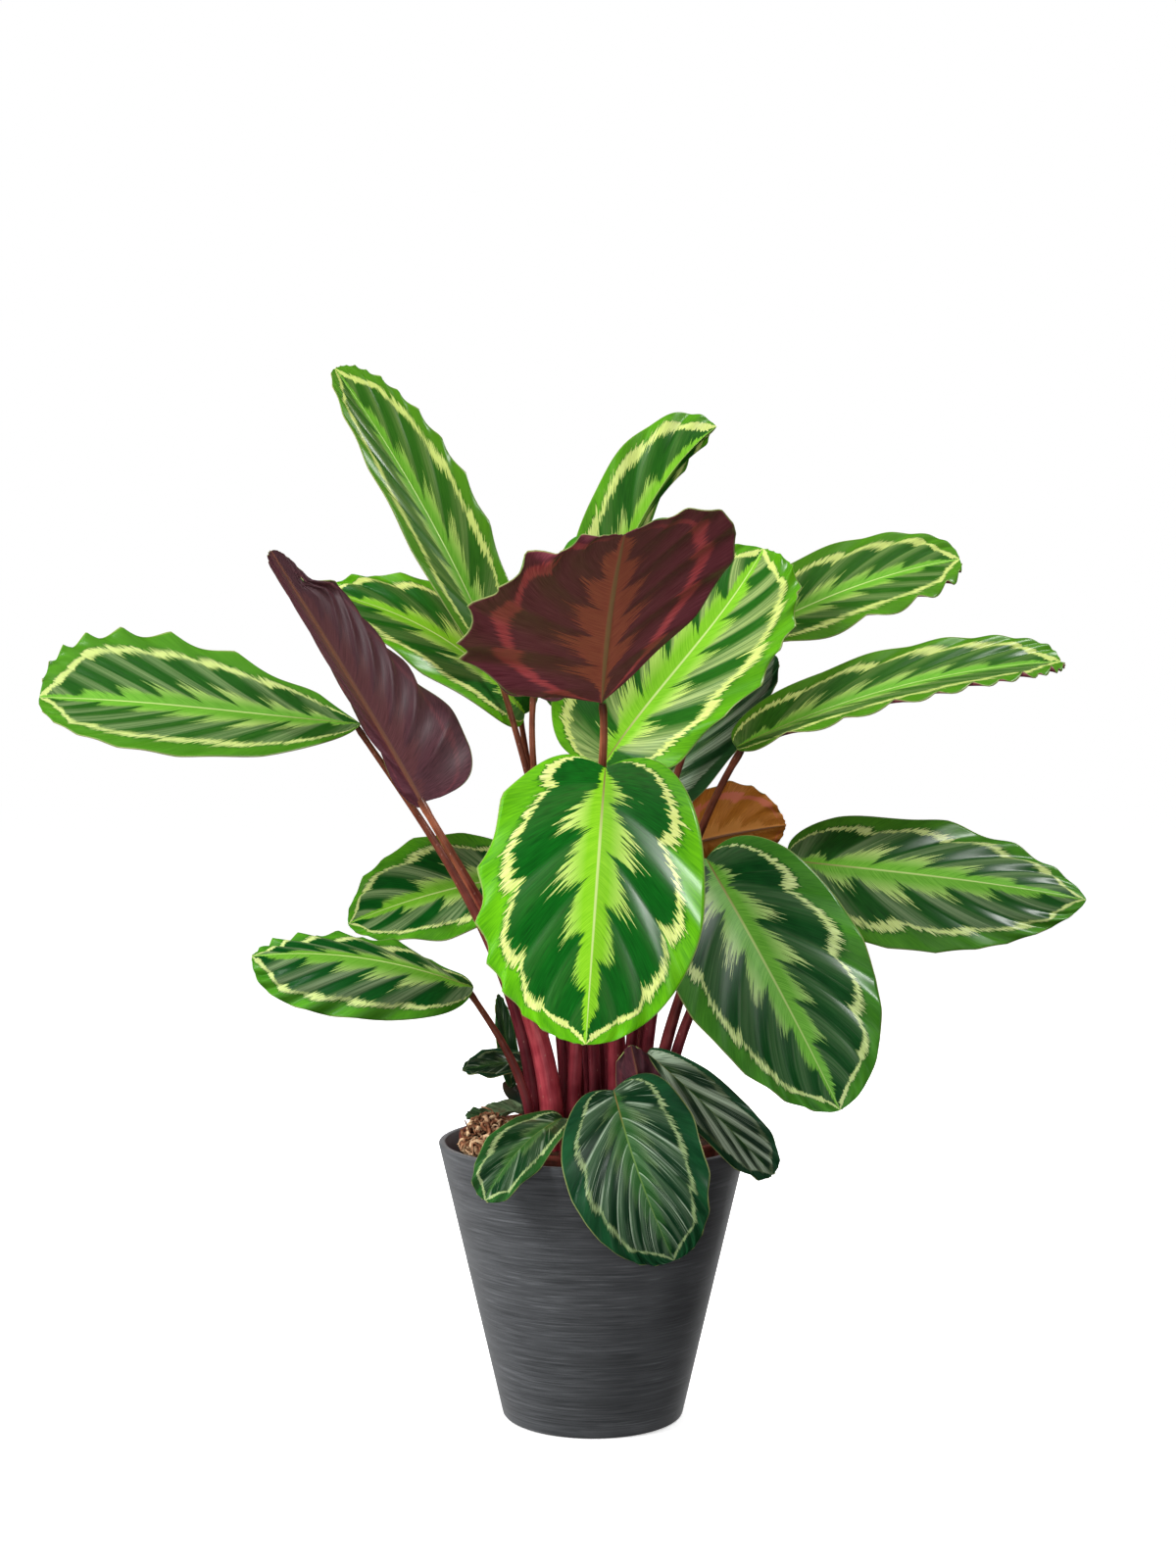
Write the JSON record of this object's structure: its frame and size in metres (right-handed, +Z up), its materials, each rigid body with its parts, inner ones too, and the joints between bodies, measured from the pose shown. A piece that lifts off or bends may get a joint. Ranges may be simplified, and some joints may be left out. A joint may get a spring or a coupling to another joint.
{
  "type": "potted calathea",
  "caption": "House plant with broad waved leaves on upright stems, in a nursery pot of soil inside a tapered planter.",
  "frame": {"origin": "centre of the planter's flat underside", "axes": "+Z up, the front of the plant towards -Y, +X to the right as seen from the front"},
  "size_m": [0.7361, 0.4903, 0.7554],
  "materials": {
    "planter": "dark grey moulded plastic with fine brushed lines",
    "nursery_pot": "thin terracotta-coloured plastic",
    "soil": "dark crumbly potting soil",
    "leaf": "waxy leaf, patterned green above and purple below",
    "leaf_stem": "smooth fleshy red stem"
  },
  "bodies": {
    "root": {"planter": "planter", "nursery_pot": "nursery_pot", "soil": "soil", "blade_upper_left": "leaf", "blade_top": "leaf", "blade_big_purple": "leaf", "blade_small_purple": "leaf", "blade_rolled": "leaf", "blade_far_left": "leaf", "blade_mid_left": "leaf", "blade_low_left_back": "leaf", "blade_low_left": "leaf", "blade_tiny_left": "leaf", "blade_front": "leaf", "blade_centre_right": "leaf", "blade_upper_right": "leaf", "blade_long_right": "leaf", "blade_shaded_right": "leaf", "blade_copper": "leaf", "blade_front_right": "leaf", "blade_far_right": "leaf", "blade_rim_front": "leaf", "blade_rim_left": "leaf", "blade_rim_right": "leaf", "blade_rim_purple": "leaf", "blade_young_spear": "leaf", "blade_back_wide": "leaf", "blade_back_left": "leaf", "blade_back_right": "leaf", "blade_back_upright": "leaf", "stem_upper_left": "leaf_stem", "stem_top": "leaf_stem", "stem_big_purple": "leaf_stem", "stem_small_purple": "leaf_stem", "stem_rolled": "leaf_stem", "stem_far_left": "leaf_stem", "stem_mid_left": "leaf_stem", "stem_low_left_back": "leaf_stem", "stem_low_left": "leaf_stem", "stem_tiny_left": "leaf_stem", "stem_front": "leaf_stem", "stem_centre_right": "leaf_stem", "stem_upper_right": "leaf_stem", "stem_long_right": "leaf_stem", "stem_shaded_right": "leaf_stem", "stem_copper": "leaf_stem", "stem_front_right": "leaf_stem", "stem_far_right": "leaf_stem", "stem_rim_front": "leaf_stem", "stem_rim_left": "leaf_stem", "stem_rim_right": "leaf_stem", "stem_rim_purple": "leaf_stem", "stem_young_spear": "leaf_stem", "stem_back_wide": "leaf_stem", "stem_back_left": "leaf_stem", "stem_back_right": "leaf_stem", "stem_back_upright": "leaf_stem"}
  },
  "joints": []
}
